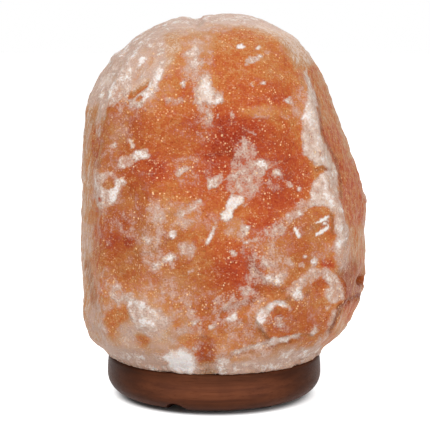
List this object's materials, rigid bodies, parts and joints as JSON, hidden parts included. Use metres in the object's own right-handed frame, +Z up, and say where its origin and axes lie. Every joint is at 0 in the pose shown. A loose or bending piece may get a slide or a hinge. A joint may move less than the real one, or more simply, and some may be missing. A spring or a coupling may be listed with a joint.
{
  "type": "salt crystal lamp",
  "caption": "Salt lamp: a hewn block of orange rock salt on a turned wooden base, lit from inside by a small screw-cap bulb on a pull-out lampholder.",
  "frame": {"origin": "on the table under the middle of the lamp's footprint; the axis of the round base is 5.75 mm to its left", "axes": "+Z up, front (the side with the cord channel) towards -Y, +X to the right seen from the front"},
  "size_m": [0.1528, 0.129, 0.202],
  "materials": {
    "salt": "satin",
    "wood": "satin",
    "rubber": "matte",
    "zinc_steel": "satin",
    "nylon": "matte",
    "plate_steel": "satin",
    "spring_steel": "satin",
    "black_moulding": "satin",
    "soft_black": "matte",
    "steatite": "matte",
    "brass": "satin",
    "nickel_brass": "gloss",
    "solder": "satin",
    "black_glass": "gloss",
    "bulb_glass": "gloss",
    "mount_glass": "gloss",
    "lead_wire": "satin",
    "tungsten": "satin"
  },
  "bodies": {
    "base": {"salt_crystal": "salt", "wooden_base": "wood", "rubber_feet": "rubber", "base_screws": "zinc_steel", "salt_plugs": "nylon"},
    "lamp_holder": {"clip_plate": "plate_steel", "clip_feet": "spring_steel", "clip_rivets": "zinc_steel", "holder_body": "black_moulding", "holder_cover": "black_moulding", "cover_screws": "zinc_steel", "cord_gland": "soft_black", "contact_block": "steatite", "screw_shell": "brass", "centre_contact": "brass", "terminals": "brass", "terminal_screws": "zinc_steel"},
    "clip_1": {"spring_clip_1": "spring_steel"},
    "clip_2": {"spring_clip_2": "spring_steel"},
    "clip_3": {"spring_clip_3": "spring_steel"},
    "bulb_contact": {"bulb_tip": "solder"},
    "bulb": {"bulb_cap": "nickel_brass", "bulb_insulator": "black_glass", "bulb_glass": "bulb_glass", "bulb_stem": "mount_glass", "lead_wires": "lead_wire", "filament": "tungsten"}
  },
  "joints": [
    {"name": "holder_slide", "type": "slide", "parent": "base", "child": "lamp_holder", "axis": [0, 0, -1], "range_m": [0, 0.095]},
    {"name": "clip_1_flex", "type": "hinge", "parent": "lamp_holder", "child": "clip_1", "pos_m": [0.00542, -0.01439, 0.01435], "axis": [-0.788, -0.6157, 0], "range_deg": [0, 7], "stiffness_Nm_per_rad": 0.3, "springref_deg": -2.86},
    {"name": "clip_2_flex", "type": "hinge", "parent": "lamp_holder", "child": "clip_2", "pos_m": [0.00105, 0.01674, 0.01435], "axis": [0.9272, -0.3746, 0], "range_deg": [0, 7], "stiffness_Nm_per_rad": 0.3, "springref_deg": -2.86},
    {"name": "clip_3_flex", "type": "hinge", "parent": "lamp_holder", "child": "clip_3", "pos_m": [-0.02372, -0.00261, 0.01435], "axis": [-0.1392, 0.9903, 0], "range_deg": [0, 7], "stiffness_Nm_per_rad": 0.3, "springref_deg": -2.86},
    {"name": "bulb_lift", "type": "slide", "parent": "lamp_holder", "child": "bulb_contact", "axis": [0, 0, 1], "range_m": [0, 0.00987]},
    {"name": "bulb_turn", "type": "hinge", "parent": "bulb_contact", "child": "bulb", "pos_m": [-0.00575, -0.00008, 0.045], "axis": [0, 0, 1], "range_deg": [0, 1260]}
  ],
  "couplings": [
    {"joint": "bulb_lift", "follows": "bulb_turn", "m_per_rad": 0.00044882}
  ]
}
